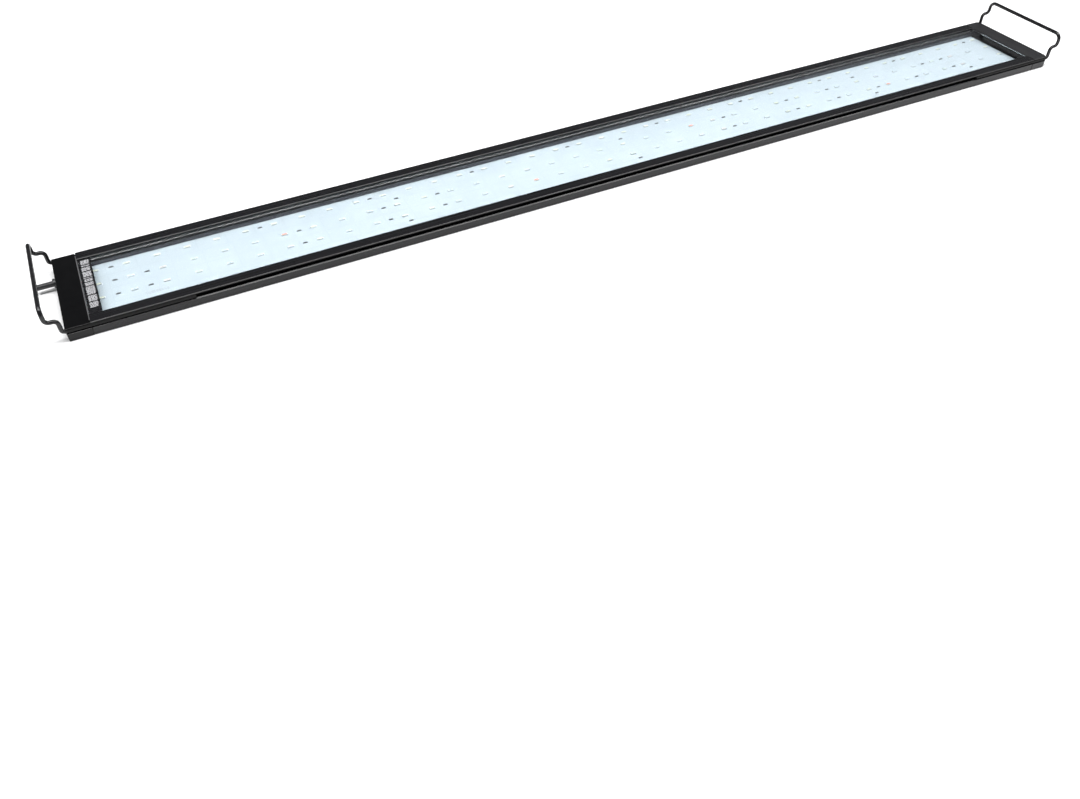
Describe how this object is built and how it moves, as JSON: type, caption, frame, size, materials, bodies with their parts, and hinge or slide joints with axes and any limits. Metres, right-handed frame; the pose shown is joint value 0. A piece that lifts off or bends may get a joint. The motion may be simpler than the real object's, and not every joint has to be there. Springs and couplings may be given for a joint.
{
  "type": "led aquarium light",
  "caption": "Long flat aluminium light bar with a clear window over an LED board, plastic end caps and a sliding wire bracket at each end that sits on a tank's rim.",
  "frame": {"origin": "centre of the flat back of the extruded body (the side away from the LEDs), which lies on the surface as in the picture", "axes": "+X along the fixture from the inlet cap to the plain cap, +Y to the far side, +Z out of the window that gives the light"},
  "size_m": [1.1579, 0.1138, 0.0388],
  "materials": {
    "anodised_aluminium": "satin black anodised",
    "cap_plastic_satin": "fine satin moulding",
    "cap_plastic_gloss": "gloss black",
    "gasket_rubber": "matt",
    "seal_rubber": "satin silicone",
    "screw_steel": "machined",
    "clear_lens": "polished clear acrylic",
    "label_film": "printed film",
    "board_white": "white solder mask",
    "tape_grey": "thermal tape",
    "led_white": "moulded package with phosphor",
    "led_blue": "moulded package, clear gel",
    "led_red": "moulded package, clear gel",
    "led_deep_red": "moulded package, clear gel",
    "led_green": "moulded package, clear gel",
    "led_violet": "moulded package, clear gel",
    "resistor_black": "chip resistor",
    "solder_metal": "solder",
    "inlet_plastic": "satin black moulding",
    "contact_metal": "plated",
    "nut_brass": "turned",
    "lead_black": "insulated lead",
    "lead_red": "insulated lead",
    "wire_black": "gloss black lacquer"
  },
  "bodies": {
    "fixture": {"housing": "anodised_aluminium", "end_cap_plain": "cap_plastic_satin", "end_cap_inlet": "cap_plastic_gloss", "gasket_left": "gasket_rubber", "gasket_right": "gasket_rubber", "cap_screws_left": "screw_steel", "cap_screws_right": "screw_steel", "lens": "clear_lens", "lens_seal_near": "seal_rubber", "lens_seal_far": "seal_rubber", "label_strip": "label_film", "led_board": "board_white", "thermal_tape": "tape_grey", "leds_white_outer": "led_white", "leds_white_inner": "led_white", "leds_blue": "led_blue", "leds_red": "led_red", "leds_deep_red": "led_deep_red", "leds_green": "led_green", "leds_violet": "led_violet", "resistors": "resistor_black", "solder_pads": "solder_metal", "inlet_sleeve": "inlet_plastic", "inlet_collar": "inlet_plastic", "inlet_contact": "contact_metal", "inlet_pin": "contact_metal", "inlet_lock_nut": "nut_brass", "lead_negative": "lead_black", "lead_positive": "lead_red"},
    "left_bracket": {"bracket_left": "wire_black"},
    "right_bracket": {"bracket_right": "wire_black"}
  },
  "joints": [
    {"name": "left_bracket_slide", "type": "slide", "parent": "fixture", "child": "left_bracket", "axis": [-1, 0, 0], "range_m": [0, 0.06]},
    {"name": "right_bracket_slide", "type": "slide", "parent": "fixture", "child": "right_bracket", "axis": [1, 0, 0], "range_m": [0, 0.06]}
  ]
}
